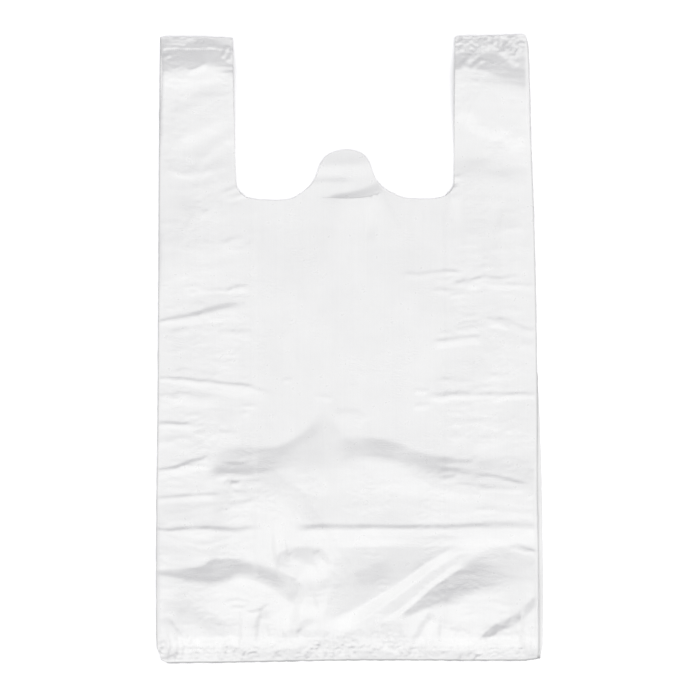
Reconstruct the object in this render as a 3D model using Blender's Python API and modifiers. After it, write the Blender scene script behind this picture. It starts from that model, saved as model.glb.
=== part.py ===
"""A vest carrier bag of thin film, lying flat and empty as it comes off the pack.

It is one blown tube of film. Its sides are tucked in as gussets, it is welded across the foot and
across the handle tops, and one die cut through every ply opens the mouth between two handles and
leaves a tear-off tongue, held by two nicks. The origin is on the surface that the bag lies on,
under the middle of the bag. The handles point to +Y and the front panel faces +Z.
"""

import math

import bmesh
import bpy

# The tube of film
LENGTH = 0.500
FOOT_HALF_WIDTH = 0.1544
TOP_LEFT = -0.1512  # the side folds run in a little towards the handle tops
TOP_RIGHT = 0.1416
GUSSET_DEPTH = 0.075
FILM = 0.0004
PLY_PITCH = 0.0008  # from one ply to the next, mid-plane to mid-plane
PLIES_AT_GUSSET = 4
FOLD_STEPS = 6
LENGTH_STEPS = 4

# The welds
WELD_WIDTH = 0.002
FOOT_SKIRT = 0.010  # loose film below the foot weld
HANDLE_SKIRT = 0.009  # loose film above each handle weld

# The die cut, on its own centre line
DIE_CENTRE = -0.0037
MOUTH_HALF_WIDTH = 0.0881
MOUTH_DEPTH = 0.1298
MOUTH_CORNER_RADIUS = 0.011
SCALLOP_RADIUS = 0.030
SCALLOP_CENTRE = 0.050
TONGUE_RADIUS = 0.0195
TONGUE_HEIGHT = 0.0393
DIE_OVERRUN = 0.010
ARC_STEP = math.radians(9)

# The slit under the tongue
SLIT_HALF_LENGTH = 0.0290
SLIT_RISE = 0.0046
SLIT_DROP = 0.0010  # how far the middle of the slit lies above the mouth's lowest line
SLIT_WIDTH = 0.0005
SLIT_STEPS = 14

FILM_WHITE = (0.90, 0.91, 0.92, 1.0)

FOLD_RADIUS = PLY_PITCH / 2
STACK_HEIGHT = FILM + (PLIES_AT_GUSSET - 1) * PLY_PITCH
TOP_Y = LENGTH / 2
MOUTH_Y = TOP_Y - MOUTH_DEPTH


def new_collection(name):
    collection = bpy.data.collections.new(name)
    bpy.context.scene.collection.children.link(collection)
    return collection


def clear_scene():
    for obj in list(bpy.data.objects):
        bpy.data.objects.remove(obj)


def film_material():
    material = bpy.data.materials.new("film_white")
    material.use_nodes = True
    shader = material.node_tree.nodes["Principled BSDF"]
    shader.inputs["Base Color"].default_value = FILM_WHITE
    shader.inputs["Roughness"].default_value = 0.35
    shader.inputs["Metallic"].default_value = 0.0
    return material


def object_from_bmesh(name, bm, collection):
    bmesh.ops.recalc_face_normals(bm, faces=bm.faces)
    mesh = bpy.data.meshes.new(name)
    bm.to_mesh(mesh)
    bm.free()
    obj = bpy.data.objects.new(name, mesh)
    collection.objects.link(obj)
    return obj


def hide_as_tool(obj):
    obj.hide_render = True
    obj.display_type = "WIRE"


def ply_height(ply):
    """The mid-plane of a ply, counted from 0 at the back panel to 3 at the front panel."""
    return FILM / 2 + ply * PLY_PITCH


def hairpin(centre_x, lower_ply, outward):
    """Points round one fold, from its upper ply down to its lower ply."""
    centre_z = ply_height(lower_ply) + FOLD_RADIUS
    points = []
    for step in range(FOLD_STEPS + 1):
        angle = math.pi / 2 - math.pi * step / FOLD_STEPS
        x = centre_x + outward * FOLD_RADIUS * math.cos(angle)
        points.append((x, centre_z + FOLD_RADIUS * math.sin(angle)))
    return points


def tube_section():
    """The closed section of the tube at its foot, as (x, z): front panel, gussets and back panel."""
    side_fold = FOOT_HALF_WIDTH - FILM / 2 - FOLD_RADIUS
    inner_fold = FOOT_HALF_WIDTH - GUSSET_DEPTH + FILM / 2 + FOLD_RADIUS
    right = hairpin(side_fold, 2, 1) + hairpin(inner_fold, 1, -1) + hairpin(side_fold, 0, 1)
    left = [(-x, z) for x, z in reversed(right)]
    return right + left


def side_fold_x(y, foot_x, top_x):
    """A side fold's place at height y along the bag: it runs straight from foot to handle top."""
    return foot_x + (top_x - foot_x) * (y + TOP_Y) / LENGTH


def draw_in_sides(bm):
    """Moves the straight tube's points so that its sides run in towards the handle tops."""
    for vert in bm.verts:
        left = side_fold_x(vert.co.y, -FOOT_HALF_WIDTH, TOP_LEFT)
        right = side_fold_x(vert.co.y, FOOT_HALF_WIDTH, TOP_RIGHT)
        across = (vert.co.x + FOOT_HALF_WIDTH) / (2 * FOOT_HALF_WIDTH)
        vert.co.x = left + across * (right - left)


def make_tube(collection):
    """The gusseted tube as an open surface, given the film's thickness by Solidify."""
    bm = bmesh.new()
    verts = [bm.verts.new((x, -TOP_Y, z)) for x, z in tube_section()]
    edges = [bm.edges.new(pair) for pair in zip(verts, verts[1:] + verts[:1])]
    for _ in range(LENGTH_STEPS):
        extruded = bmesh.ops.extrude_edge_only(bm, edges=edges)["geom"]
        moved = [item for item in extruded if isinstance(item, bmesh.types.BMVert)]
        edges = [item for item in extruded if isinstance(item, bmesh.types.BMEdge)]
        bmesh.ops.translate(bm, verts=moved, vec=(0, LENGTH / LENGTH_STEPS, 0))
    draw_in_sides(bm)
    tube = object_from_bmesh("carrier_bag_film", bm, collection)
    solidify = tube.modifiers.new("film thickness", "SOLIDIFY")
    solidify.thickness = FILM
    solidify.offset = 0
    solidify.use_even_offset = True
    return tube


def make_weld(name, lower_y, collection):
    """A bar that fuses all the plies across the tube, just inside its outer faces."""
    bm = bmesh.new()
    bmesh.ops.create_cube(bm, size=1)
    width = 2 * FOOT_HALF_WIDTH - FILM
    bmesh.ops.scale(bm, verts=bm.verts, vec=(width, WELD_WIDTH, STACK_HEIGHT - FILM))
    bmesh.ops.translate(bm, verts=bm.verts, vec=(0, lower_y + WELD_WIDTH / 2, STACK_HEIGHT / 2))
    draw_in_sides(bm)
    weld = object_from_bmesh(name, bm, collection)
    hide_as_tool(weld)
    return weld


def arc(centre_x, centre_y, radius, start, end):
    """Points along an arc, both ends included. The angles are in radians."""
    steps = max(2, round(abs(end - start) / ARC_STEP))
    points = []
    for step in range(steps + 1):
        angle = start + (end - start) * step / steps
        points.append((centre_x + radius * math.cos(angle), centre_y + radius * math.sin(angle)))
    return points


def mouth_half_outline():
    """The right half of the mouth, from the tongue's tip to above the handle, about x = 0."""
    tongue_centre_y = MOUTH_Y + TONGUE_HEIGHT - TONGUE_RADIUS
    scallop_centre_y = MOUTH_Y + SCALLOP_RADIUS
    rise = scallop_centre_y - tongue_centre_y
    apart = math.hypot(SCALLOP_CENTRE, rise)
    # The straight flank is the inner tangent of the tongue's arc and the scallop's arc.
    flank = math.atan2(rise, SCALLOP_CENTRE) + math.acos(
        (TONGUE_RADIUS + SCALLOP_RADIUS) / apart
    )
    tongue = arc(0, tongue_centre_y, TONGUE_RADIUS, math.pi / 2, flank)
    scallop = arc(
        SCALLOP_CENTRE, scallop_centre_y, SCALLOP_RADIUS, math.pi + flank, 1.5 * math.pi
    )
    corner = arc(
        MOUTH_HALF_WIDTH - MOUTH_CORNER_RADIUS,
        MOUTH_Y + MOUTH_CORNER_RADIUS,
        MOUTH_CORNER_RADIUS,
        -math.pi / 2,
        0,
    )
    return tongue + scallop + corner + [(MOUTH_HALF_WIDTH, TOP_Y + DIE_OVERRUN)]


def mouth_outline():
    half = mouth_half_outline()
    mirrored = [(-x, y) for x, y in reversed(half[1:])]
    return mirrored + half


def slit_outline():
    """A thin upturned crescent: an arc of even width whose ends stop short of the mouth's edge."""
    radius = (SLIT_HALF_LENGTH**2 + SLIT_RISE**2) / (2 * SLIT_RISE)
    centre_y = MOUTH_Y + SLIT_DROP + radius
    sweep = math.asin(SLIT_HALF_LENGTH / radius)
    lower = []
    upper = []
    for step in range(SLIT_STEPS + 1):
        angle = -sweep + 2 * sweep * step / SLIT_STEPS
        lower.append((radius * math.sin(angle), centre_y - radius * math.cos(angle)))
        inner = radius - SLIT_WIDTH
        upper.append((inner * math.sin(angle), centre_y - inner * math.cos(angle)))
    return lower + upper[::-1]


def make_die(name, outline, collection):
    """A closed outline extruded through the whole stack of plies."""
    curve = bpy.data.curves.new(name, "CURVE")
    curve.dimensions = "2D"
    curve.fill_mode = "BOTH"
    curve.extrude = 2 * STACK_HEIGHT
    spline = curve.splines.new("POLY")
    spline.points.add(len(outline) - 1)
    for point, (x, y) in zip(spline.points, outline):
        point.co = (x + DIE_CENTRE, y, 0, 1)
    spline.use_cyclic_u = True
    blank = bpy.data.objects.new(name, curve)
    collection.objects.link(blank)
    bpy.context.view_layer.update()
    evaluated = blank.evaluated_get(bpy.context.evaluated_depsgraph_get())
    mesh = bpy.data.meshes.new_from_object(evaluated)
    bm = bmesh.new()
    bm.from_mesh(mesh)
    bmesh.ops.remove_doubles(bm, verts=bm.verts, dist=0.00001)
    bpy.data.objects.remove(blank)
    die = object_from_bmesh(name, bm, collection)
    hide_as_tool(die)
    return die


def combine(obj, operation, tool):
    boolean = obj.modifiers.new(tool.name, "BOOLEAN")
    boolean.operation = operation
    boolean.solver = "EXACT"
    boolean.object = tool


def main():
    clear_scene()
    parts = new_collection("vest_carrier_bag")
    tools = new_collection("tools")
    bag = make_tube(parts)
    combine(bag, "UNION", make_weld("foot_weld", FOOT_SKIRT - TOP_Y, tools))
    combine(bag, "UNION", make_weld("handle_weld", TOP_Y - HANDLE_SKIRT - WELD_WIDTH, tools))
    combine(bag, "DIFFERENCE", make_die("mouth_die", mouth_outline(), tools))
    combine(bag, "DIFFERENCE", make_die("slit_die", slit_outline(), tools))
    bag.data.materials.append(film_material())


main()
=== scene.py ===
import math

import bpy
import numpy as np
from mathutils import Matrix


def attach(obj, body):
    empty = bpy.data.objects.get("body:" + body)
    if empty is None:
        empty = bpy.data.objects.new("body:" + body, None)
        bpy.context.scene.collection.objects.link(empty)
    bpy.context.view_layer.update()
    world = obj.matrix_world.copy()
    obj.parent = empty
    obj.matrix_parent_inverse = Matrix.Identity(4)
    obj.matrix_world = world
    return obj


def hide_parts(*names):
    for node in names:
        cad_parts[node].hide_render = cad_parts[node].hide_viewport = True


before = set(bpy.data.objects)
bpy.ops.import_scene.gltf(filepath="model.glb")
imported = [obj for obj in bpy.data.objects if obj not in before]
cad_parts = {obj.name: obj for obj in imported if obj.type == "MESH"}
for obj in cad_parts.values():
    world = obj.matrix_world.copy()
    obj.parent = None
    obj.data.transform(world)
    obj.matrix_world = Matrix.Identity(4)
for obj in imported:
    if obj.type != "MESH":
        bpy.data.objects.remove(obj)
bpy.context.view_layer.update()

FILM_NODE = "carrier_bag_film"

# The film is worked out in millimetres, in the frame's axes, and made in metres.
MM = 0.001

# The bag's two ends, its welds and its sheet of film
TOP_Y = 250.0
FOOT_Y = -250.0
FOOT_WELD_Y = -239.5
HANDLE_WELD_Y = 240.0

# The side folds of the front panel, as (y, x)
LEFT_FOLD = [(-250, -154.2), (-235, -155.2), (-190, -155.5), (-120, -155.2), (-60, -154.4),
             (20, -153.9), (120, -153.4), (200, -152.8), (252, -152.2)]
RIGHT_FOLD = [(-250, 151.4), (-200, 151.4), (-150, 150.8), (-100, 150.0), (-40, 149.9),
              (20, 149.2), (70, 148.2), (120, 146.8), (160, 145.2), (200, 144.2), (232, 143.2),
              (252, 141.6)]
# The back panel's right fold slides out from under the front panel's towards the foot.
RIGHT_FAN = [(-250, 2.6), (-200, 3.0), (-150, 3.3), (-100, 3.2), (-60, 1.9), (-25, 0.5),
             (10, 0.0), (252, 0.0)]

# The die cut through every ply, as (x, y)
MOUTH = [(-94.6, 262), (-94.0, 235), (-93.3, 190), (-92.4, 155), (-91.9, 138), (-91.2, 130.5),
         (-89.0, 126.6), (-85.6, 123.2), (-81.0, 121.0), (-72.0, 120.0), (-60.0, 119.5),
         (-50.0, 120.3), (-45.0, 121.8), (-40.5, 124.6), (-35.5, 128.2), (-31.0, 132.4),
         (-27.6, 138.4), (-24.6, 146.2), (-21.6, 152.2), (-17.2, 156.4), (-10.5, 159.0),
         (-2.0, 160.0), (6.0, 158.6), (11.4, 155.4), (15.2, 149.6), (17.6, 143.0), (20.2, 137.4),
         (23.4, 132.6), (28.4, 128.4), (35.0, 124.8), (43.0, 121.6), (54.0, 120.6),
         (66.0, 120.8), (74.5, 122.4), (79.6, 125.6), (82.4, 130.0), (83.4, 138.0), (83.4, 190),
         (83.9, 235), (84.2, 262)]
SLIT = [(-31.0, 124.6), (-24.0, 122.2), (-14.0, 121.3), (0.0, 121.0), (12.0, 121.9),
        (20.0, 124.0), (25.4, 126.4)]

# Ply heights above the surface that the bag lies on
BACK_Z = 0.15
LOWER_GUSSET_Z = 0.40
UPPER_GUSSET_Z = 0.65
SIDE_FOLD_Z = 0.75
FRONT_REST_Z = 1.0
GUSSET_STEP = 0.35  # the front panel lies this much lower between the gussets
GUSSET_FOLD_X = 76.5
GUSSET_EASE = 5.0

# How the film's two ends stray from straight lines, as (x, rise)
HANDLE_RISE = [(-155, 0.3), (-120, 0.2), (-92, -0.6), (80, 0.4), (110, 1), (136, 2.2), (145, 1.4)]
FOOT_SAG = [(-156, 2.2), (-148, -1.2), (-70, -0.2), (0, 1), (140, 0.9), (152, 2.4)]
CORNER_CUT = (2.9, 2.3)  # off the right handle's outer corner
SKIRT_STEPS = (2.6, 1.6)  # the skirt below the foot weld is this much narrower at each side

# How the front panel rises from its rest height
AIR = 0.9  # how far the trapped air lifts the middle of the front panel
AIR_EASE = 40.0  # from the side folds
AIR_WELD_EASE = 30.0  # from the foot weld
MOUTH_CALM = 70.0  # the film lies flat at the mouth's edge, and rises over this far
MOUTH_FOOT_Y = 119.5
SIDE_EASE = 4.5  # creases fade out over this far beside the side folds
WELD_HOLD = 0.3  # the share of a crease's height that is left at the foot weld
WELD_EASE = 11.0  # the skirt under the weld, and the creases above it, ease over this far
SKIRT_CURL = 1.4  # how far the film's cut foot turns up below the weld
FOLD_RADIUS = 1.8  # how gently the film turns over at the side folds
SOUTH_EASE = 1.0  # every crease falls away a little more gently towards the foot
CREASE_REACH = 1.3  # a crease's rounded foot ends within this many of its widths
STIFFNESS = 4.0  # how sharply the film lands on the plies under it, per mm
LANDING = 0.1  # takes off most of what that rounding adds
LIP_FALL = 26.0  # the lip above the slit falls to nothing over this far
LIP_LIFTS = (0, 0.3, 0.5, 0.7, 0.1)
LIP_PLACES = (0, 0.25, 0.6, 0.9, 1)
HIDDEN_FOLLOW = 0.75  # the share of the front panel's rise that the hidden plies take at a weld
HIDDEN_EASE = 12.0

# The mesh: the rows' pitch as (y, pitch), and the columns of each ply
ROW_PITCH = [(-250, 0.8), (-226, 0.9), (-215, 1.1), (-100, 1.15), (70, 1.25), (90, 2.0), (115, 1.5),
             (135, 1.6), (190, 1.7), (205, 1.2), (225, 0.9), (252, 0.8)]
COLUMN_PITCH = 1.31
# Close together at the folds, so that the shading turns over within them
EDGE_COLUMNS = [0.0, 0.3, 0.7, 1.2, 1.9, 2.8]
GUSSET_DEPTHS = [0, 0.25, 0.6, 1.1, 2, 4, 8, 16, 27, 40, 53, 64, 71, 75]
BACK_COLUMNS = 56
HIDDEN_EVERY = 4  # the hidden plies have every fourth row
SNAP = 0.3  # a point this close to the cut is moved onto it
ON_CUT = 1e-3  # a point this close to the slit counts as on it

# Painted shade along the film's rim, where it is seen edge on at the side folds and the cut foot:
# how dark, and over what width
SIDE_RIM_SHADE = 0.5
SIDE_RIM_SHADE_WIDTH = 1.3
FOOT_RIM_SHADE = 1.35
FOOT_RIM_SHADE_WIDTH = 1.1

# The film's looks
FILM_DARK = (0.602, 0.602, 0.600, 1)
FILM_LIGHT = (0.637, 0.637, 0.634, 1)
# the dark grey of the painted shade along the film's rim
RIM_SHADE_GREY = (0.12, 0.12, 0.125, 1)
FILM_ROUGHNESS = (0.27, 0.42)
FILM_IOR = 1.9
COAT_IOR = 1.7
COAT_ROUGHNESS = 0.16
CLOUD_SCALE = 24
DIE_LINE_SCALES = (900, 6, 900)
GRAIN_SCALE = 1500
SHEEN_SCALE = 160
HAIR_SCALES = (130, 420, 130)
HAIR_PATCH_SCALE = 34
RIB_SCALE = 4200
WELD_BAR = (0.0009, 0.0013)  # metres from the weld's middle to its edge, and to past it
RIB_DEPTHS = (-0.15, -0.05)
BUMP_HEIGHT = 0.0006

# The studio
CAMERA_PLACE = (-0.0002, -0.0004, 1.559)
LENS = 100
FLOOR_WHITE = (0.98, 0.98, 0.985, 1)
SUN_TILT = 36.0
SUN_TURN = -6.0
SUN_WIDTH = 60.0
SUN_STRENGTH = 0.3
DARK_SIDE = (-0.3, 0.954, 0)  # the studio is dark beyond the handles, and a little to the left
DOME_EDGE = (0.17, 0.39)  # how far towards the dark side the dome starts and ends darkening
DOME_BRIGHT = (1.0, 1.0, 1.0, 1)
DOME_DARK = (0.24, 0.237, 0.262, 1)
DOME_STRENGTH = (1.38, 1.585)  # beyond the foot, and overhead
BACKDROP = (0.62, 0.62, 0.62, 1)


# ---- Curves and fields ------------------------------------------------------------------

NOISE_CELLS = 256
NOISE_GAIN = 1.41  # brings gradient noise to about -1 to 1


def smooth_curve(points, per_span=6):
    """A Catmull-Rom curve through given points."""
    points = np.array(points, float)
    padded = np.vstack([2 * points[0] - points[1], points, 2 * points[-1] - points[-2]])
    t = np.linspace(0, 1, per_span, endpoint=False)[:, None]
    spans = []
    for a, b, c, d in zip(padded, padded[1:], padded[2:], padded[3:]):
        spans.append(0.5 * (2 * b + (c - a) * t + (2 * a - 5 * b + 4 * c - d) * t**2
                            + (3 * b - a - 3 * c + d) * t**3))
    return np.vstack(spans + [points[-1:]])


def along(table, at):
    """A value read from (place, value) pairs by a smooth curve."""
    curve = smooth_curve(table)
    return np.interp(at, curve[:, 0], curve[:, 1])


def smoothstep(value):
    """0 up to 0, 1 from 1, and an even S between them."""
    value = np.clip(value, 0, 1)
    return value * value * (3 - 2 * value)


def nearest_on_path(x, y, path):
    """(distance, nearest x, nearest y, side, share of the path's length) for each point.
    side is +1 on the path's left hand."""
    ax, ay = path[:-1, 0], path[:-1, 1]
    dx, dy = np.diff(path[:, 0]), np.diff(path[:, 1])
    length = np.maximum(np.hypot(dx, dy), 1e-9)
    before = np.concatenate([[0], np.cumsum(length)])
    best = np.full(x.shape, np.inf)
    found = np.zeros((4,) + x.shape)
    for k in range(len(length)):
        share = ((x - ax[k]) * dx[k] + (y - ay[k]) * dy[k]) / length[k] ** 2
        share = np.clip(share, 0, 1)
        near_x = ax[k] + share * dx[k]
        near_y = ay[k] + share * dy[k]
        distance = np.hypot(x - near_x, y - near_y)
        side = np.sign(dx[k] * (y - ay[k]) - dy[k] * (x - ax[k]))
        nearer = distance < best
        best = np.where(nearer, distance, best)
        values = (near_x, near_y, side, (before[k] + share * length[k]) / before[-1])
        for held, value in zip(found, values):
            held[nearer] = value[nearer]
    return best, *found


def soft_fall(q, soft, foot=0.1):
    """1 before q = 0 and 0 after q = 1, falling evenly between them. soft rounds off the start
    of the fall, and foot its end."""
    start = 1 - (q + soft) ** 2 / (4 * soft)
    end = (1 + foot - q) ** 2 / (4 * foot)
    value = np.where(q < soft, start, 1 - q)
    value = np.where(q > 1 - foot, end, value)
    value = np.where(q < -soft, 1, value)
    return np.where(q > 1 + foot, 0, value)


def gradient_noise(x, y, seed):
    """Smooth noise of about -1 to 1, with one cell per unit."""
    rng = np.random.default_rng(seed)
    angle = rng.uniform(0, 2 * math.pi, (NOISE_CELLS, NOISE_CELLS))
    cell_x, cell_y = np.floor(x).astype(int), np.floor(y).astype(int)
    part_x, part_y = x - cell_x, y - cell_y
    fade_x = part_x**3 * (part_x * (part_x * 6 - 15) + 10)
    fade_y = part_y**3 * (part_y * (part_y * 6 - 15) + 10)
    corners = []
    for j in (0, 1):
        for i in (0, 1):
            a = angle[(cell_y + j) % NOISE_CELLS, (cell_x + i) % NOISE_CELLS]
            corners.append(np.cos(a) * (part_x - i) + np.sin(a) * (part_y - j))
    low = corners[0] + fade_x * (corners[1] - corners[0])
    high = corners[2] + fade_x * (corners[3] - corners[2])
    return NOISE_GAIN * (low + fade_y * (high - low))


# ---- The folds and creases of the front panel --------------------------------------------

FOLDS = []


def fold(points, height, north, south, fade=(0.2, 0.2), soft=0.25):
    """One crease: a crest along points, given left to right. It falls over the width north on
    the path's left hand and over south on its right. A height or width can be one number, or
    several that are spread evenly along the path. fade is the share of the path at each end
    over which the crest rises from nothing."""
    FOLDS.append((points, height, north, south, fade, soft))


def spread(values, share):
    """One value, or several spread evenly along a path, at each share of the path's length."""
    values = np.atleast_1d(values).astype(float)
    if len(values) == 1:
        return values[0]
    table = smooth_curve(np.column_stack([np.linspace(0, 1, len(values)), values]))
    return np.interp(share, table[:, 0], table[:, 1])


def fold_height(x, y, points, height, north, south, fade, soft):
    """How far one crease lifts each point."""
    path = smooth_curve(points)
    reach = CREASE_REACH * max(np.max(north), np.max(south))
    low, high = path.min(axis=0) - reach, path.max(axis=0) + reach
    near = (x > low[0]) & (x < high[0]) & (y > low[1]) & (y < high[1])
    lifted = np.zeros(x.shape)
    distance, _, _, side, share = nearest_on_path(x[near], y[near], path)
    across = distance * side
    up = soft_fall(across / spread(north, share), soft)
    down = soft_fall(-across / (spread(south, share) + SOUTH_EASE), soft)
    start = smoothstep(share / fade[0]) if fade[0] else 1.0
    end = smoothstep((1 - share) / fade[1]) if fade[1] else 1.0
    lifted[near] = spread(height, share) * up * down * start * end
    return lifted


def left_handle_folds():
    """A crest across the handle, the slope from it down to the weld, and the sheen folds."""
    fold([(-158, 219), (-146, 222), (-136, 223), (-127, 224.5), (-118, 228), (-110, 226),
          (-102, 222.5), (-90, 217)], 3.7, 20, 60, (0, 0), 0.12)
    fold([(-158, 239), (-140, 239.6), (-120, 239.6), (-104, 239), (-88, 237)], 0.9, 14, 30,
         (0, 0))
    fold([(-158, 239.6), (-151, 238.8), (-143, 239.8), (-132, 239.6), (-121, 239.4),
          (-112, 239.8), (-105, 239.2), (-98, 238), (-90, 237)], -0.36, 1.8, 8, (0, 0), 0.2)
    fold([(-103, 233), (-100, 238), (-98, 244)], 0.7, 2.2, 2.2)
    fold([(-99, 230), (-96, 235), (-94, 242)], 0.7, 2.2, 2.2)
    fold([(-154, 233), (-148, 234.4), (-143, 237)], 0.5, 2.4, 2.4)
    fold([(-131, 222.5), (-124, 224), (-118, 227), (-114, 229.5)], 0.5, 2.5, 3.5)
    fold([(-152, 202), (-137, 205), (-122, 210), (-108, 214), (-92, 218)], -0.4, 10, 14)
    fold([(-150, 176), (-138, 184), (-125, 193), (-112, 201), (-98, 206)], 0.5, 10, 22)
    fold([(-152, 162), (-140, 165), (-128, 172), (-112, 180), (-94, 189)], 0.55, 14, 9)
    fold([(-126, 148), (-117, 153), (-108, 160), (-100, 166), (-90, 171)], 0.4, 9, 3.5)
    fold([(-152, 146), (-143, 143), (-133, 140), (-120, 142), (-108, 144), (-92, 148)],
         0.45, 9, 3.5)
    fold([(-112, 139), (-104, 138), (-97, 140), (-90, 143)], 0.4, 8, 10)
    fold([(-108, 125), (-100, 126), (-94, 128.4), (-88, 131)], 0.5, 2.6, 3.4, (0.4, 0))
    fold([(-103, 121.4), (-96, 122), (-91, 123.4), (-86, 124.4)], 0.4, 2.2, 3, (0.4, 0))


def right_handle_folds():
    """The same on the other handle, and the short creases at the mouth's corner."""
    fold([(80, 217), (90, 217), (100, 215), (110, 214.5), (118, 213), (126, 212.5),
          (134, 210), (141, 206), (150, 201)], 3.9, (34, 36, 40, 46), 60, (0, 0), 0.15)
    fold([(80, 223), (92, 224.5), (104, 224), (112, 226)], 0.6, 4, 6)
    fold([(88, 226), (93, 231), (97, 236)], 0.9, 3, 4)
    fold([(97, 227), (102, 229), (106, 233)], 0.7, 2.5, 2.5)
    fold([(80, 226), (96, 226.5), (106, 225), (114, 222), (120, 216), (128, 212), (136, 209),
          (148, 207)], (0.8, 1, 1.3, 1.4, 1.3), (9, 12, 16, 15), 60, (0, 0), 0.15)
    fold([(124, 246), (127, 239), (131, 232), (135, 226)], 0.6, 2.5, 4)
    fold([(82, 197), (92, 192), (100, 186), (106, 179), (113, 175), (122, 176), (132, 170),
          (146, 166)], 0.9, 26, 9)
    fold([(82, 141), (92, 140), (104, 141), (116, 137), (128, 134), (148, 132)], 0.95, 13, 22,
         (0, 0.2))
    fold([(81, 128), (84, 130), (88, 131)], 0.8, 2.4, 3, (0, 0.5))
    fold([(76, 121.4), (82, 122.4), (90, 124)], 1.3, 7, 20, (0.4, 0.4))
    fold([(83, 137.5), (87, 138.4), (91, 138)], 0.4, 1.8, 2, (0, 0.5))


def tongue_folds():
    """The tongue's own folds, and its slope down to the slit."""
    fold([(-26, 146), (-12, 147), (2, 147.5), (12, 148.5), (22, 150)], 0.9, 12, 9, (0, 0))
    fold([(-28, 134), (-16, 134.5), (-4, 134), (4, 132)], 0.6, 4, 12, (0, 0.3))
    fold([(-24, 121.2), (-12, 121.2), (0, 121.3), (10, 122.2), (19, 124.6), (28, 128.6)],
         1.15, (2, 4, 7, 9), 45, (0.35, 0.1), 0.2)


def upper_body_folds():
    """The creases over the gussets and the film's soft swells, above the middle of the bag."""
    fold([(-158, 21), (-148, 23), (-135, 24.8), (-125, 26.4), (-115, 29), (-105, 31.5),
          (-95, 33.4), (-84, 34.6), (-74, 35)], 0.8, (2.4, 3.2, 4.2, 4.6, 4), (3, 6, 9, 12),
         (0, 0.3))
    fold([(-158, 66), (-140, 70), (-120, 76), (-104, 84)], 0.9, 60, 32, (0, 0.3), 0.3)
    fold([(-140, 101), (-126, 107), (-112, 114), (-98, 118)], 0.5, 24, 14, (0.3, 0.3), 0.3)
    fold([(12, 98), (17, 97.6), (22, 98)], -0.6, 22, 10, (0.25, 0.25))
    fold([(-48, 104), (-43, 103.6), (-38, 104)], -0.5, 16, 8, (0.25, 0.25))
    fold([(116, 105), (128, 102), (142, 100)], 0.5, 20, 16, (0.3, 0.3), 0.3)
    fold([(116, 7), (130, 6), (144, 5)], 0.5, 14, 12, (0.3, 0.2), 0.3)
    fold([(-100, 47), (-94, 48.4), (-86, 49.6), (-80, 50)], 0.3, 2.5, 3)
    fold([(-108, 13.5), (-98, 13.4), (-86, 13.6), (-77, 13.8)], 0.3, 3, 4)
    fold([(-146, 12), (-136, 15), (-128, 16)], 0.35, 3, 4)
    fold([(38, 59.5), (48, 60), (56, 59.5), (66, 61), (76, 61), (90, 62.5)], 0.32, 2.6, 3.5)
    fold([(66, 56), (76, 56), (86, 57.2)], 0.22, 2, 2.5)
    fold([(78, 50.5), (88, 53), (98, 54.5), (107, 57.5), (113, 56.5), (122, 56), (134, 58.5)],
         0.55, 2.8, 5, (0.2, 0.25))
    fold([(99, 54.5), (110, 52.3), (122, 51.5), (134, 51.2), (152, 50)], 0.4, 2.6, 4, (0.3, 0))
    fold([(64, 48), (74, 47.3), (84, 46.6), (95, 48)], 0.35, 2.4, 3)
    fold([(79, 42.6), (86, 43.8), (95, 44.6)], 0.3, 2.2, 2.6)
    fold([(64, 5.4), (74, 6.4), (84, 7.8), (94, 9), (109, 10.2)], 0.6, 3, 5)
    fold([(84, 14), (91, 16.4), (98, 17.6), (107, 17.8)], 0.38, 2.4, 5)
    fold([(70, 12.4), (76, 13), (82, 13.8)], 0.25, 2, 2.2)
    fold([(108, 26.5), (115, 22.6), (123, 18.4), (130, 16)], 0.4, 3.4, 4)
    fold([(110, 25.5), (120, 23.6), (128, 20.6), (136, 17.6), (143, 15.4), (153, 14)], 0.6,
         3.2, 5, (0.3, 0))
    fold([(134, 3), (142, 4), (153, 5)], 0.5, 5, 6, (0.4, 0))
    fold([(126, 33), (132, 32), (138, 29)], 0.25, 3, 3)
    fold([(112, 100), (124, 96), (136, 88), (150, 84)], 0.5, 12, 22, (0.4, 0), 0.5)


def middle_body_folds():
    """The creases over the gussets, from the middle of the bag down to the chevron."""
    fold([(-158, -23), (-148, -23.6), (-138, -24), (-131, -24.4), (-122, -25.8), (-112, -25.6),
          (-106, -27.4), (-95, -28.6), (-82, -29.6), (-75, -32), (-66, -35), (-56, -37.2)],
         0.55, 2.2, (3, 3.5, 8, 8, 5), (0, 0.25))
    fold([(-158, -37), (-146, -38), (-134, -37), (-120, -38.6), (-108, -39), (-96, -38.6)],
         0.5, 4, 8, (0, 0.3))
    fold([(-56, -24.8), (-50, -24.4), (-45, -24.8)], 0.25, 2, 2.4, (0.4, 0.4))
    fold([(-30, -37), (-22, -38), (-12, -40)], 0.2, 3, 3)
    fold([(-158, -59.6), (-146, -59.8), (-134, -60.2), (-120, -61)], 0.65, 2.4, 3, (0, 0.4))
    fold([(-128, -66.6), (-112, -66.6), (-98, -66.6), (-86, -67)], 0.22, 1.8, 2.4)
    fold([(-158, -74), (-148, -73), (-136, -71.4), (-122, -71.6)], 0.45, 3.5, 5, (0, 0.4))
    fold([(50, -33), (57, -33), (64, -33.4)], 0.3, 2.2, 2.6)
    fold([(50, -45.4), (58, -45), (65, -44)], 0.3, 2.6, 3)
    fold([(56, -39.6), (64, -38), (72, -38.4), (80, -37.4), (94, -36.8), (110, -36.8),
          (130, -36.2), (154, -35.8)], 0.65, (3.4, 4.6, 3.6, 2.6, 2.4), (3, 3, 3, 3.4, 4),
         (0.2, 0))
    fold([(78, -44.4), (88, -44.6), (98, -44.2)], 0.22, 2.4, 3)
    fold([(96, -41.4), (110, -41), (124, -40.2)], 0.2, 1.8, 2.6)
    fold([(70, -25.4), (76, -24), (84, -26), (94, -25.6), (102, -28)], 0.2, 2.6, 3)


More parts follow.
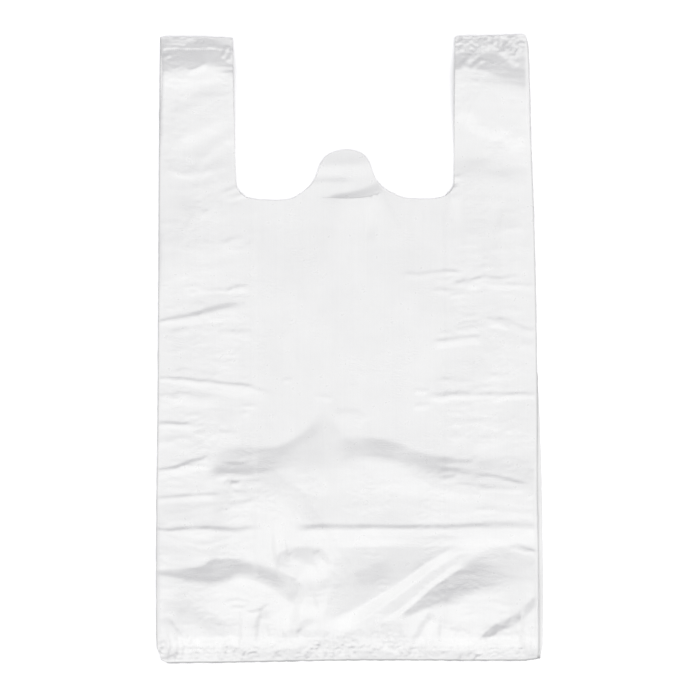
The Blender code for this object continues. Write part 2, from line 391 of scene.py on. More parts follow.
def chevron_folds():
    """The broad chevron, and the slopes from it down to the cross fold."""
    fold([(-160, -97), (-150, -96.6), (-143, -95.8), (-136, -94), (-128, -91.4), (-120, -88.8),
          (-112, -86.4), (-104, -84)], 0.85, (2.6, 2.4, 3, 4), (5, 6, 9), (0, 0.3))
    fold([(-140, -92.6), (-132, -92.8), (-124, -93.6), (-112, -92.4)], 0.35, 2.2, 2.6)
    fold([(-122, -106), (-112, -104.4), (-104, -102), (-97, -99.4), (-90, -98.6), (-83, -99.4),
          (-74, -102)], 0.55, (4, 6.5, 8, 7), (6, 9, 9), (0.25, 0.3), 0.2)
    fold([(-118, -104), (-98, -101), (-76, -99), (-58, -97), (-42, -95.5), (-26, -94),
          (-12, -93), (2, -92.5), (14, -93)], (1, 2.2, 3.4, 3.7, 3.3, 3.4, 4, 1.6, 0.5),
         (10, 20, 22, 20, 21, 29, 40, 23, 12), 110, (0.1, 0.1), 0.1)
    fold([(-66, -86), (-54, -84), (-42, -78), (-31, -71), (-21, -64)], 0.2,
         (5, 7, 8, 8, 8), 16, (0.25, 0.2), 0.2)
    fold([(-20, -91), (-6, -89), (6, -87.4), (18, -87), (31, -89), (45, -94), (60, -98), (80, -101),
          (105, -103), (130, -104)], (0.8, 1.6, 3, 3.4, 2.7, 1.6, 1, 0.7, 0.6, 0.5),
         (12, 18, 17, 16, 15, 14, 14, 15, 16, 14), 75, (0.14, 0.2), 0.15)
    fold([(34, -100), (60, -106), (80, -111), (104, -114), (130, -114), (156, -114)], 3.4,
         (22, 24, 26, 28, 28), (60, 60, 50, 40), (0.35, 0), 0.15)
    fold([(-112, -117), (-92, -119), (-72, -119), (-53, -116), (-40, -108)], 2.1, (22, 24, 22, 16),
         110, (0.3, 0.25), 0.2)
    fold([(-46, -143.5), (-10, -143.5), (40, -143.5), (90, -143.5), (156, -143.5)], 1.3, 26,
         (50, 60, 60), (0.1, 0), 0.1)
    fold([(-158, -143.5), (-120, -143.5), (-90, -143.5), (-66, -143.5)], 0.9, 26, 60,
         (0, 0.2), 0.1)
    fold([(-14, -51.5), (-4, -50.5), (6, -52), (14, -57)], 0.3, 4, 12)
    fold([(68, -90), (78, -89), (90, -90.4), (104, -90)], 0.22, 2.6, 4)
    fold([(70, -97.6), (78, -97.4), (90, -98)], 0.28, 2.6, 3)
    fold([(70, -103.4), (78, -103.6), (86, -103)], 0.35, 3, 3)
    fold([(96, -109), (108, -111.6), (122, -111.4), (144, -112.4)], 0.4, 3.4, 2.6)
    fold([(98, -101.4), (112, -102), (124, -104.4), (136, -107.6), (146, -109)], 0.4, 2.6, 4)
    fold([(98, -128.2), (108, -127.6), (119, -127.4)], 0.3, 2, 2.6)


def cross_folds():
    """The sharp fold across the bag, the bright bar at its gap, and what lies round them."""
    fold([(-158, -119.6), (-147, -119), (-132, -117.8), (-116, -116.8), (-100, -116.8)],
         0.5, 2.2, 4, (0, 0.2))
    fold([(-100, -124.6), (-90, -124.4), (-82, -122.6), (-74, -120)], 0.42, 3, 4)
    fold([(-100, -104), (-93, -106.6), (-86, -105.4)], 0.45, 2, 6)
    fold([(-92, -117), (-95, -111), (-92, -105)], 0.5, 3, 3)
    fold([(-136, -139), (-126, -138), (-116, -138)], 0.4, 10, 10, (0.3, 0.3), 0.5)
    fold([(-158, -143.6), (-146, -145.6), (-134, -144.6), (-120, -144.4), (-104, -145.2),
          (-90, -145.4), (-77, -143.6), (-66, -146)], 0.62, (2.4, 2.6, 3.6, 3.4, 2.6),
         (4, 4, 6, 6, 5), (0, 0.2))
    fold([(-120, -151), (-100, -151.6), (-82, -151.4), (-68, -150)], 0.25, 2.6, 3)
    fold([(-47, -145.4), (-34, -144.4), (-20, -143.6), (-4, -144), (16, -143.6), (44, -143.8),
          (74, -143.6), (96, -143.2), (116, -143), (136, -143.2), (156, -144.4)], 1.05,
         (4.4, 4.6, 4, 3.8, 4.4, 5.6, 6), (7, 6, 5, 5, 6, 8), (0.08, 0), 0.25)
    fold([(-34, -151.4), (-10, -151.4), (20, -151.2), (56, -151), (96, -150), (130, -150.6),
          (150, -152)], (0.5, 0.8, 0.9, 0.9), 5.5, 6, (0.2, 0.15))
    fold([(-62.5, -164.5), (-55.5, -164), (-48.5, -163)], -1.3, 31, 9, (0.25, 0.25), 0.15)
    fold([(-160, -172), (-130, -170), (-104, -165), (-86, -165), (-70, -168)], 0.8, 24, 70,
         (0, 0.25), 0.3)
    fold([(-58, -164.6), (-49, -166), (-40, -168), (-33, -172), (-27, -178), (-20, -183)],
         (0.4, 1.1, 2, 2.8, 2.5, 1), (2.4, 6.5, 10.5, 15, 18, 14), 24, (0.05, 0.4), 0.15)


def lower_left_folds():
    """The big dark fold, and the creases between it and the foot."""
    fold([(-160, -180.6), (-148, -181.6), (-135, -184), (-122, -187), (-111, -187.4),
          (-101, -185.6), (-91, -182.6), (-81, -183.4), (-71, -187), (-62, -191.6),
          (-54, -197.4), (-45, -203), (-36, -206)],
         (0.7, 1.2, 1.9, 3, 4.1, 5, 4.5, 4.1, 4.1, 4.3, 4.7, 4.7, 3.4),
         (4, 5.4, 8, 12, 16, 20, 17, 14, 14, 15, 17, 16, 10), (50, 80, 100, 100, 90, 60, 40),
         (0, 0.08), 0.12)
    fold([(-100, -180), (-90, -178.6), (-80, -180), (-68, -184.6), (-57, -191), (-47, -197)],
         0.6, 8, 7)
    fold([(-44, -201), (-36, -199), (-27, -197)], 1.1, 14, 20, (0.3, 0.2))
    fold([(-31, -217), (-27.5, -205), (-24.5, -195), (-22, -187), (-20, -181)], 1.9, 24, 6.5,
         (0.35, 0.5), 0.15)
    fold([(-28, -160), (-22, -168), (-16, -176)], 0.5, 5, 5)
    fold([(-144, -206), (-134, -211), (-123, -218), (-110, -226), (-97, -236)],
         (0.1, 1.1, 2.1, 2.5, 2.3), 13, 22, (0.25, 0.1), 0.2)
    fold([(-149, -213), (-142, -222), (-135, -231), (-128, -240)], 1.3, 2.8, 7, (0.3, 0), 0.3)
    fold([(-150, -200), (-143, -208), (-135, -218), (-128, -228), (-121, -240)],
         (0.5, 1.2, 1.5, 1.5), 16, 8.5, (0.25, 0.1), 0.2)
    fold([(-73.5, -246), (-73, -230), (-72, -218), (-68, -206)], 2.3, 4, 10, (0, 0.25))
    fold([(-92, -244), (-93, -232), (-97, -220), (-102, -208)], 0.5, 3, 5, (0, 0.4))
    fold([(-102, -203), (-94, -200.6), (-86, -201), (-78, -203.6)], 0.4, 2, 2.2)
    fold([(-96, -205.6), (-86, -206), (-79, -204.4)], 0.5, 2, 2)
    fold([(-88, -208), (-79, -210.6), (-71, -208), (-64, -203)], 0.6, 2.2, 2.6)
    fold([(-60, -238), (-48, -231), (-36, -223), (-22, -215)], 1.1, 6, 14)
    fold([(-50, -230), (-30, -229), (-8, -226)], 0.3, 5, 5)


def lower_right_folds():
    """The two diagonal ridges, the dark fold beside them, and the creases at the foot."""
    fold([(-18, -201), (0, -194), (20, -186), (40, -178)], 0.9, 14, 60, (0.25, 0.3), 0.3)
    fold([(-26, -223), (-10, -215), (4, -208), (18, -200), (32, -191.6), (44, -183.4),
          (55, -175.4), (67, -167.4), (80, -160), (96, -153)],
         (1.1, 3.4, 5.3, 6.2, 6.1, 5.1, 4, 2.9, 1.9, 1.1),
         (12, 28, 38, 44, 42, 34, 26, 18, 14, 10), (15, 11, 8, 6.5, 6, 6, 7), (0.14, 0.15), 0.14)
    fold([(22, -218), (34, -212), (44, -205), (53, -197), (62, -189), (73, -180.5), (85, -171.5),
          (97, -166)], 1.8, (13, 16, 18, 15), (2, 2.2, 2.6, 5), (0.2, 0.2), 0.1)
    fold([(38, -216), (48, -213), (60, -207.6), (73, -204), (84, -201), (92, -197),
          (102, -193.4), (115, -191), (128, -187.4), (140, -185.8), (156, -190.6)],
         (0.9, 2.3, 3.9, 5.1, 5.9, 6.5, 6.8, 6.2, 4.9, 3.5, 2.6),
         (4, 8.5, 14, 19, 22, 25, 29, 31, 29, 26, 24), (40, 70, 100, 110, 100, 80), (0.08, 0), 0.1)
    fold([(100, -240), (106, -235), (112, -230.4), (119, -225.6), (127, -222.2),
          (135, -218), (143, -211), (154, -201)], 2.5, (4, 6.5, 7.5, 7.5, 7), (12, 20, 26, 24),
         (0.06, 0.04), 0.15)
    fold([(129, -155.4), (137, -158.6), (145, -161.4), (154, -165)], 0.7, 2.2, 3, (0.2, 0))
    fold([(126, -157.4), (136, -160.6), (144, -163.4)], 0.5, 2.2, 2.6)
    fold([(48, -237), (55, -231), (60, -222), (68, -211)], 1.3, 5, 7)
    fold([(-146, -240), (-90, -238), (-30, -240), (40, -239), (100, -240), (146, -240)], 1.6,
         (16, 22, 14, 20, 24, 16), 10, (0.05, 0.05), 0.3)
    fold([(78, -250), (75, -240), (73, -230), (73, -218), (71, -207)], 1.1, 3, 8, (0, 0.3))
    fold([(69, -250), (68, -240), (69, -232)], 0.7, 2.4, 4, (0, 0.4))
    fold([(33, -238), (42, -236.8), (50, -235.4), (59, -235)], 0.5, 2.4, 3)
    fold([(26, -218), (28, -226), (31, -234)], 0.4, 4, 3)
    fold([(78, -224.6), (88, -225), (97, -227)], 0.3, 2.6, 5)


# ---- Heights ------------------------------------------------------------------------------

def crumple(x, y, pitch, seed):
    """Small facets that meet in sharp creases, from 0 to about 1."""
    big = 1 - np.abs(gradient_noise(x / pitch, y / pitch, seed)) * 2
    small = 1 - np.abs(gradient_noise(2.1 * x / pitch, 2.1 * y / pitch, seed + 1)) * 2
    return np.clip(0.65 * big + 0.35 * small, 0, 1)


def gathers(x, y, pitch, seed):
    """Sharp creases along Y, such as film makes where a weld holds it in."""
    bend = 2.5 * gradient_noise(x / 16, y / 11, seed + 1)
    return np.clip(1 - 3 * np.abs(gradient_noise((x + bend) / pitch, y / 40, seed)), 0, 1)


def patchy(x, y, scale, seed, share):
    """About share of the film is near 1, and the rest near 0."""
    return smoothstep((gradient_noise(x / scale, y / scale, seed) + share - 0.35) / 0.3)


def crinkles(x, y):
    """The crumpled film at the foot and at the ends of the handles, and faintly over the rest."""
    above_foot = np.abs(y - FOOT_WELD_Y)
    foot = 0.9 * crumple(x, y, pitch=4.2, seed=11) * np.exp(-above_foot / 9)
    foot *= patchy(x, y, scale=17, seed=51, share=0.8)
    gathered = 1.2 * gathers(x, y, pitch=6, seed=15) * np.exp(-above_foot / 11)
    foot += gathered * patchy(x, y, scale=21, seed=52, share=0.6)
    near_corner = np.exp(-(((x - 108) / 22) ** 2) - above_foot / 8)
    foot += 0.8 * crumple(x, y, pitch=3.4, seed=19) * near_corner
    top = 0.5 * crumple(x, y, pitch=5, seed=13) * smoothstep((y - 234 + 8 * (x > 0)) / 12)
    top *= patchy(x, y, scale=15, seed=53, share=0.75)
    top *= np.where(x > 0, 1.35, 0.75)
    loose = np.maximum(smoothstep((np.abs(x) - 72) / 12), smoothstep((-60 - y) / 60))
    body = 0.2 * crumple(x, 1.7 * y, pitch=8, seed=17)
    return foot + top + body * patchy(x, y, scale=26, seed=54, share=0.45) * loose


def scatter_folds(seed, count):
    """Short faint creases over the gussets, which lie in the film at random."""
    rng = np.random.default_rng(seed)
    for _ in range(count):
        side = rng.choice([-1, 1])
        x, y = side * rng.uniform(76, 150), rng.uniform(-225, 118)
        half = rng.uniform(4, 15)
        rise, bend = rng.normal(0, 0.12, 2)
        points = [(x - half, y - half * rise), (x, y + half * bend), (x + half, y + half * rise)]
        width = rng.uniform(1.3, 2.6)
        fold(points, rng.uniform(0.06, 0.24), width, width * rng.uniform(1, 1.6), (0.35, 0.35))


def film_waves(x, y):
    """The faint sideways waves of thin film that has been folded in a pack."""
    sides = smoothstep((np.abs(x) - 55) / 50)
    lower = smoothstep((-40 - y) / 90)
    amount = 0.03 + 0.1 * sides + 0.06 * lower
    bend = 6 * gradient_noise(x / 60, y / 45, 21)
    waves = gradient_noise(x / 42, (y + bend) / 9.5, 22)
    waves += 0.5 * gradient_noise(x / 23, (y + bend) / 4.4, 23)
    broad = gradient_noise(x / 70, y / 55, 24)
    return amount * waves + 0.35 * broad


def lip_lift(x, y):
    """The body's film stands up along the slit, above the tongue."""
    distance, _, _, _, share = nearest_on_path(x, y, smooth_curve(SLIT))
    along_slit = np.interp(share, LIP_PLACES, LIP_LIFTS)
    return along_slit * soft_fall(distance / LIP_FALL, 0.3)


def front_height(x, y, on_tongue):
    """The height of the front panel, pushed up by the air under it and by its creases."""
    edge = np.minimum(x - along(LEFT_FOLD, y), along(RIGHT_FOLD, y) - x)
    rest = FRONT_REST_Z - GUSSET_STEP * smoothstep((GUSSET_FOLD_X + 2 - np.abs(x)) / GUSSET_EASE)
    puff = smoothstep(edge / AIR_EASE) * smoothstep((y - FOOT_WELD_Y) / AIR_WELD_EASE)
    puff *= smoothstep(mouth_distance(x, y) / MOUTH_CALM)
    creased = AIR * puff + film_waves(x, y)
    for crease in FOLDS:
        creased += fold_height(x, y, *crease)
    held = WELD_HOLD + (1 - WELD_HOLD) * smoothstep((y - FOOT_WELD_Y) / WELD_EASE)
    creased *= smoothstep((edge + 1) / SIDE_EASE) * held
    creased += crinkles(x, y) * smoothstep((edge + 1) / 5)
    creased += SKIRT_CURL * smoothstep((FOOT_WELD_Y - y) / WELD_EASE)
    near_slit = (y > 80) & (y < 140) & ~on_tongue
    creased[near_slit] += lip_lift(x[near_slit], y[near_slit])
    # The film lies on the plies under it, so it can't sink below them.
    height = rest + np.logaddexp(0, STIFFNESS * creased) / STIFFNESS - LANDING
    turn = np.sqrt(1 - (1 - np.clip(edge / FOLD_RADIUS, 0, 1)) ** 2)
    return SIDE_FOLD_Z + (height - SIDE_FOLD_Z) * turn


def mouth_distance(x, y):
    """How far a point is from the mouth's edge, above 0 on the film and below 0 in the mouth."""
    signed = np.full(x.shape, 99.0)
    near = y > MOUTH_FOOT_Y - MOUTH_CALM
    distance, _, _, side, _ = nearest_on_path(x[near], y[near], smooth_curve(MOUTH, 5))
    signed[near] = -side * distance
    return signed


# ---- The film's mesh ------------------------------------------------------------------------
# A point of the film is a row (x, y, ply height, share of front ply).

X, Y = 0, 1


def edge_wobble(y, seed):
    """The small waver of a side fold."""
    return 0.35 * gradient_noise(y / 13, 0 * y, seed) + 0.2 * gradient_noise(y / 5, 0 * y, seed)


def row_levels():
    """Row places from foot to top, closer where the film is more creased."""
    pitches = np.array(ROW_PITCH, float)
    levels = [FOOT_Y]
    while levels[-1] < TOP_Y:
        levels.append(levels[-1] + np.interp(levels[-1], pitches[:, 0], pitches[:, 1]))
    count = (len(levels) - 1) // HIDDEN_EVERY * HIDDEN_EVERY
    levels = np.array(levels[: count + 1])
    return FOOT_Y + (levels - FOOT_Y) * (TOP_Y - FOOT_Y) / (levels[-1] - FOOT_Y)


def front_shares():
    """Column places across the front panel, from 0 to 1, closer at the side folds."""
    width = RIGHT_FOLD[0][1] - LEFT_FOLD[0][1]
    count = round((width / 2 - EDGE_COLUMNS[-1]) / COLUMN_PITCH)
    middle = np.linspace(EDGE_COLUMNS[-1], width / 2, count + 1)[1:]
    half = np.concatenate([EDGE_COLUMNS, middle]) / width
    return np.concatenate([half, 1 - half[-2::-1]])


def foot_sag(x):
    """How far the cut foot lies above its straight line."""
    return np.interp(x, *zip(*FOOT_SAG))


def shape_ends(x, y):
    """Moves the film's two ends in their plane, so that they aren't dead straight."""
    to_top = smoothstep((y - 205) / 45)
    to_foot = smoothstep((-215 - y) / 35)
    rise = np.interp(x, *zip(*HANDLE_RISE))
    ragged = 0.35 * gradient_noise(x / 7, y / 40, 31)
    corner = smoothstep((x - 138) / 8) * smoothstep((y - 243) / 9)
    skirt = smoothstep((-240 - y) / 8)
    left_step = SKIRT_STEPS[0] * skirt * smoothstep((-140 - x) / 12)
    right_step = SKIRT_STEPS[1] * skirt * smoothstep((x - 138) / 12)
    y = y + (rise + ragged) * to_top + (foot_sag(x) + ragged) * to_foot - CORNER_CUT[1] * corner
    return x + left_step - right_step - CORNER_CUT[0] * corner, y


class Film:
    """The film's points and faces, as they are made."""

    def __init__(self):
        self.points = []
        self.faces = []

    def grid(self, rows, columns, level, front=0, flip=False):
        """A ply. rows are y, one for each row, and columns are x, one line for each row."""
        x, y = shape_ends(columns, rows[:, None] + 0 * columns)
        first = len(self.points)
        flat = np.stack([x, y, level + 0 * x, front + 0 * x], axis=-1).reshape(-1, 4)
        self.points.extend(flat.tolist())
        ids = first + np.arange(x.size).reshape(x.shape)
        corners = [ids[:-1, :-1], ids[:-1, 1:], ids[1:, 1:], ids[1:, :-1]]
        quads = np.stack(corners[::-1] if flip else corners, axis=-1)
        self.faces.extend(quads.reshape(-1, 4).tolist())
        return ids

    def stitch(self, fine, coarse, flip):
        """Joins a column of points to another that has every HIDDEN_EVERY-th row of it."""
        step = (len(fine) - 1) // (len(coarse) - 1)
        for k in range(len(coarse) - 1):
            ends = [int(coarse[k + 1]), int(coarse[k])]
            face = fine[k * step : (k + 1) * step + 1].tolist() + ends
            self.faces.append(face[::-1] if flip else face)

    def crossing(self, a, b, field, made):
        """The point between a and b where field is 0, made once."""
        key = (min(a, b), max(a, b))
        if key not in made:
            low, high = (np.array(self.points[k]) for k in key)
            share = field[key[0]] / (field[key[0]] - field[key[1]])
            made[key] = len(self.points)
            self.points.append((low + share * (high - low)).tolist())
        return made[key]

    def clipped(self, face, field, made):
        """The part of a face where field is above 0."""
        kept = []
        for a, b in zip(face, face[1:] + face[:1]):
            if field[a] >= 0:
                kept.append(a)
            if field[a] * field[b] < 0:
                kept.append(self.crossing(a, b, field, made))
        return kept

    def array(self):
        return np.array(self.points)


def cut_mouth(film):
    """Cuts the mouth out of every ply."""
    points = film.array()
    x, y = points[:, X].copy(), points[:, Y].copy()
    field = mouth_distance(x, y)
    close = np.nonzero(np.abs(field) < SNAP)[0]
    _, near_x, near_y, _, _ = nearest_on_path(x[close], y[close], smooth_curve(MOUTH, 5))
    for k, snapped_x, snapped_y in zip(close.tolist(), near_x.tolist(), near_y.tolist()):
        film.points[k][:2] = [snapped_x, snapped_y]
    field[close] = 0
    field = field.tolist()
    made = {}
    kept = []
    for face in film.faces:
        values = [field[k] for k in face]
        if max(values) > 0:
            kept.append(face if min(values) >= 0 else film.clipped(face, field, made))
    film.faces = [face for face in kept if len(face) > 2]


def cut_slit(film, ply):
    """Parts a ply along the slit. Returns the points on the tongue's side of it."""
    path = smooth_curve(SLIT)
    points = film.array()
    ply = ply.ravel()
    for end in (SLIT[0], SLIT[-1]):
        nearest = ply[np.argmin(np.hypot(points[ply, X] - end[0], points[ply, Y] - end[1]))]
        film.points[nearest][:2] = end
    points = film.array()
    field = points[:, Y] - np.interp(points[:, X], path[:, 0], path[:, 1])
    field[np.abs(field) < ON_CUT] = 0
    field = field.tolist()
    in_ply = set(ply.tolist())
    upper, lower = {}, {}
    faces = []
    for face in film.faces:
        values = [field[k] for k in face]
        centre = sum(film.points[k][X] for k in face) / len(face)
        parted = SLIT[0][0] < centre < SLIT[-1][0] and min(values) < 0 < max(values)
        if parted and face[0] in in_ply:
            faces.append(film.clipped(face, field, upper))
            faces.append(film.clipped(face, [-value for value in field], lower))
        else:
            faces.append(face)
    film.faces = faces
    return upper


def hidden_plies(film, front, levels):
    """The back panel and the two gussets, which the front panel covers."""
    rows = levels[::HIDDEN_EVERY]
    left = along(LEFT_FOLD, rows) + edge_wobble(rows, 41)
    right = along(RIGHT_FOLD, rows) + edge_wobble(rows, 42)
    outer_right = right + along(RIGHT_FAN, rows)
    shares = np.linspace(0, 1, BACK_COLUMNS)
    width = (outer_right - left)[:, None]
    back = film.grid(rows, left[:, None] + shares * width, BACK_Z, flip=True)
    depth = np.array(GUSSET_DEPTHS)
    for side, fold_x, outer_x, front_edge, back_edge in (
        (1, left, left, front[:, 0], back[:, 0]),
        (-1, right, outer_right, front[:, -1], back[:, -1]),
    ):
        upper = film.grid(rows, fold_x[:, None] + side * depth, UPPER_GUSSET_Z, flip=side > 0)
        lower = film.grid(rows, outer_x[:, None] + side * depth, LOWER_GUSSET_Z, flip=side < 0)
        film.stitch(front_edge, upper[:, 0], flip=side > 0)
        film.stitch(lower[:, 0], back_edge, flip=side > 0)
        film.stitch(upper[:, -1], lower[:, -1], flip=side < 0)
    return back


def painted_rim_shade(x, y):
    """How much painted shade the rim gets: 1 where the film is seen edge on, at its side folds and
    its cut foot, and 0 inside.
    """
    edge = np.minimum(x - along(LEFT_FOLD, y), along(RIGHT_FOLD, y) - x)
    side = SIDE_RIM_SHADE * (1 - np.abs(edge) / SIDE_RIM_SHADE_WIDTH)
    foot = FOOT_RIM_SHADE - (y - FOOT_Y - foot_sag(x)) / FOOT_RIM_SHADE_WIDTH
    return np.clip(np.maximum(side, foot), 0, 1)


def film_heights(points, on_tongue):
    """The height of every point: the front panel's own, and the hidden plies' under it."""
    x, y, level, front = points.T
    height = front_height(x, y, on_tongue)
    to_weld = np.minimum(y - FOOT_WELD_Y, HANDLE_WELD_Y - y)
    near_weld = HIDDEN_FOLLOW * (1 - smoothstep(to_weld / HIDDEN_EASE))
    share = near_weld * (level - BACK_Z) / (FRONT_REST_Z - BACK_Z)
    hidden = level + share * np.maximum(height - FRONT_REST_Z, 0)
    return front * height + (1 - front) * hidden


def find_tongue(points, tongue_lip):
    """True for the points on the tongue's side of the slit."""
    path = smooth_curve(SLIT)
    over_slit = points[:, Y] > np.interp(points[:, X], path[:, 0], path[:, 1]) + ON_CUT
    on_tongue = over_slit & (points[:, X] > SLIT[0][0]) & (points[:, X] < SLIT[-1][0])
    on_tongue[list(tongue_lip.values())] = True
    return on_tongue


def make_bag():
    """The whole bag as one sheet of film. Its rim's painted shade is an attribute of the mesh."""
    film = Film()
    levels = row_levels()
    left = along(LEFT_FOLD, levels) + edge_wobble(levels, 41)
    right = along(RIGHT_FOLD, levels) + edge_wobble(levels, 42)
    columns = left[:, None] + front_shares() * (right - left)[:, None]
    front = film.grid(levels, columns, FRONT_REST_Z, front=1)
    back = hidden_plies(film, front, levels)
    cut_mouth(film)
    tongue_lip = cut_slit(film, front)
    cut_slit(film, back)
    points = film.array()
    heights = film_heights(points, find_tongue(points, tongue_lip))
    places = np.column_stack([points[:, X], points[:, Y], heights]) * MM
    mesh = bpy.data.meshes.new("carrier_bag")
    mesh.from_pydata(places.tolist(), [], film.faces)
    mesh.shade_smooth()
    # how much painted shade each point along the rim gets
    rim_painted_shade = mesh.attributes.new("rim_painted_shade", "FLOAT", "POINT")
    rim_painted_shade.data.foreach_set("value", painted_rim_shade(points[:, X], points[:, Y]).astype(np.float32))
    bag = bpy.data.objects.new("carrier_bag", mesh)
    bpy.context.scene.collection.objects.link(bag)
    return bag


# ---- Material -------------------------------------------------------------------------------

class Nodes:
    """Adds shader nodes and joins them up."""

    def __init__(self, tree):
        self.tree = tree

    def add(self, kind, inputs=(), **settings):
        node = self.tree.nodes.new(kind)
        for name, value in settings.items():
            setattr(node, name, value)
        for name, value in dict(inputs).items():
            if isinstance(value, bpy.types.NodeSocket):
                self.tree.links.new(value, node.inputs[name])
            else:
                node.inputs[name].default_value = value
        return node

    def noise(self, where, scale, detail=2.0, rough=0.5):
        node = self.add("ShaderNodeTexNoise", {"Vector": where, "Scale": scale, "Detail": detail,
                                               "Roughness": rough})
        return node.outputs["Fac"]

    def stretched(self, where, scale):
        node = self.add("ShaderNodeVectorMath", {0: where, 1: scale}, operation="MULTIPLY")
        return node.outputs[0]

    def math(self, operation, a, b=0.0):
        return self.add("ShaderNodeMath", {0: a, 1: b}, operation=operation).outputs[0]

    def scaled(self, value, by):
        return self.math("MULTIPLY", value, by)

    def blend(self, share, low, high):
        """The colour low where share is 0, and high where it is 1."""
        inputs = {"Factor": share, 6: low, 7: high}
        return self.add("ShaderNodeMix", inputs, data_type="RGBA").outputs[2]

    def ranged(self, value, low, high, to_low, to_high):
        node = self.add("ShaderNodeMapRange", {"Value": value, "From Min": low, "From Max": high,
                                               "To Min": to_low, "To Max": to_high})
        return node.outputs[0]


def film_material():
    """Milky film: its colour, with painted shade along its rim, its faint die lines along the tube
    and its fine crinkles.
    """
    material = bpy.data.materials.new("film")
    material.use_nodes = True
    shader = material.node_tree.nodes["Principled BSDF"]
    nodes = Nodes(material.node_tree)
    link = material.node_tree.links.new
    where = nodes.add("ShaderNodeTexCoord").outputs["Object"]
    place = nodes.add("ShaderNodeSeparateXYZ", {0: where})

    die_lines = nodes.noise(nodes.stretched(where, DIE_LINE_SCALES), 1, 2)
    colour = film_colour(nodes, where, die_lines)
    # Painted shade along the rim: the side folds and the cut foot are mixed towards a dark grey.
    rim_painted_shade = nodes.add("ShaderNodeAttribute", attribute_name="rim_painted_shade").outputs["Fac"]
    link(nodes.blend(rim_painted_shade, colour, RIM_SHADE_GREY), shader.inputs["Base Color"])

    sheen = nodes.noise(where, SHEEN_SCALE, 3)
    link(nodes.ranged(sheen, 0.3, 0.7, *FILM_ROUGHNESS), shader.inputs["Roughness"])

    grain = nodes.noise(where, GRAIN_SCALE, 2)
    height = nodes.math("ADD", nodes.scaled(grain, 0.03), nodes.scaled(die_lines, 0.04))
    height = nodes.math("ADD", height, nodes.scaled(hair_creases(nodes, where), 0.07))
    height = nodes.math("ADD", height, weld_pattern(nodes, place))
    bump = nodes.add("ShaderNodeBump", {"Height": height, "Strength": 1.0, "Distance": BUMP_HEIGHT})
    link(bump.outputs[0], shader.inputs["Normal"])
    shader.inputs["IOR"].default_value = FILM_IOR
    shader.inputs["Coat Weight"].default_value = 1.0
    shader.inputs["Coat IOR"].default_value = COAT_IOR
    shader.inputs["Coat Roughness"].default_value = COAT_ROUGHNESS
    return material


def film_colour(nodes, where, die_lines):
    """Two close greys, in clouds and in faint streaks along the tube."""
    cloudy = nodes.noise(where, CLOUD_SCALE, 3)
    tint = nodes.math("ADD", nodes.scaled(cloudy, 0.75), nodes.scaled(die_lines, 0.25))
    return nodes.blend(nodes.ranged(tint, 0.35, 0.65, 0, 1), FILM_DARK, FILM_LIGHT)


def hair_creases(nodes, where):
    """Patches of fine sideways creases."""
    hair = nodes.noise(nodes.stretched(where, HAIR_SCALES), 1, 2)
    hair = nodes.math("ABSOLUTE", nodes.math("SUBTRACT", hair, 0.5))
    hair = nodes.ranged(hair, 0, 0.12, 0, 1)
    patches = nodes.ranged(nodes.noise(where, HAIR_PATCH_SCALE, 2), 0.5, 0.62, 0, 1)
    return nodes.math("MULTIPLY", hair, patches)


def weld_pattern(nodes, place):
    """The pressed bar across each weld, with its fine ribs."""
    ribs = nodes.math("SINE", nodes.scaled(place.outputs["X"], RIB_SCALE))
    pressed = 0.0
    for weld_y in (FOOT_WELD_Y, HANDLE_WELD_Y):
        away = nodes.math("SUBTRACT", place.outputs["Y"], weld_y * MM)
        bar = nodes.ranged(nodes.math("ABSOLUTE", away), *WELD_BAR, 1, 0)
        pressed = nodes.math("ADD", pressed, bar)
    return nodes.math("MULTIPLY", pressed, nodes.ranged(ribs, -1, 1, *RIB_DEPTHS))


# ---- Studio ---------------------------------------------------------------------------------

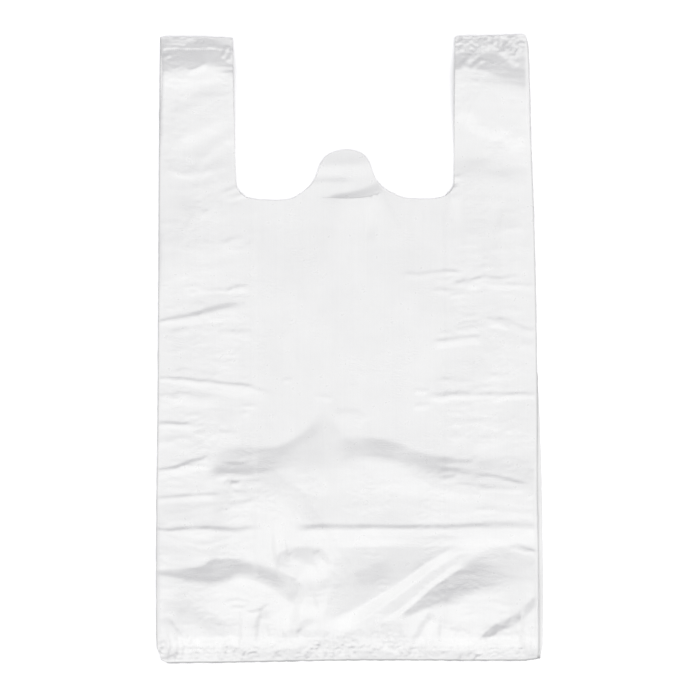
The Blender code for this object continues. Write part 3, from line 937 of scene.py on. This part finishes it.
def make_floor():
    """A plain white floor."""
    bpy.ops.mesh.primitive_plane_add(size=12)
    floor = bpy.context.object
    floor.name = "floor"
    material = bpy.data.materials.new("floor")
    material.use_nodes = True
    shader = material.node_tree.nodes["Principled BSDF"]
    shader.inputs["Base Color"].default_value = FLOOR_WHITE
    shader.inputs["Roughness"].default_value = 0.9
    shader.inputs["Specular IOR Level"].default_value = 0.2
    floor.data.materials.append(material)


def make_light():
    """A wide soft light from beyond the foot of the bag."""
    light = bpy.data.lights.new("softbox", "SUN")
    light.energy = SUN_STRENGTH
    light.angle = math.radians(SUN_WIDTH)
    lamp = bpy.data.objects.new("softbox", light)
    lamp.rotation_euler = (math.radians(SUN_TILT), 0, math.radians(SUN_TURN))
    bpy.context.scene.collection.objects.link(lamp)


def make_world():
    """A pale dome, darker and faintly violet beyond the handles. The camera sees a plain grey."""
    world = bpy.data.worlds.new("studio")
    bpy.context.scene.world = world
    world.use_nodes = True
    nodes = Nodes(world.node_tree)
    background = world.node_tree.nodes["Background"]
    direction = nodes.add("ShaderNodeTexCoord").outputs["Generated"]
    toward = nodes.add("ShaderNodeVectorMath", {0: direction, 1: DARK_SIDE}, operation="DOT_PRODUCT")
    toward = toward.outputs["Value"]
    dome = nodes.blend(nodes.ranged(toward, *DOME_EDGE, 0, 1), DOME_BRIGHT, DOME_DARK)
    seen = nodes.add("ShaderNodeLightPath").outputs["Is Camera Ray"]
    strength = nodes.ranged(toward, -0.6, 0, *DOME_STRENGTH)
    world.node_tree.links.new(nodes.blend(seen, dome, BACKDROP), background.inputs["Color"])
    world.node_tree.links.new(strength, background.inputs["Strength"])


def make_camera():
    """Straight above the middle of the bag, as in the photo."""
    lens = bpy.data.cameras.new("camera")
    lens.lens = LENS
    camera = bpy.data.objects.new("camera", lens)
    camera.location = CAMERA_PLACE
    bpy.context.scene.collection.objects.link(camera)
    bpy.context.scene.camera = camera


for add_folds in (
    left_handle_folds,
    right_handle_folds,
    tongue_folds,
    upper_body_folds,
    middle_body_folds,
    chevron_folds,
    cross_folds,
    lower_left_folds,
    lower_right_folds,
):
    add_folds()
scatter_folds(seed=5, count=170)
bag = make_bag()
bag.data.materials.append(film_material())
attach(bag, "root")
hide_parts(FILM_NODE)
make_floor()
make_world()
make_light()
make_camera()
bpy.context.scene.view_settings.view_transform = "Standard"
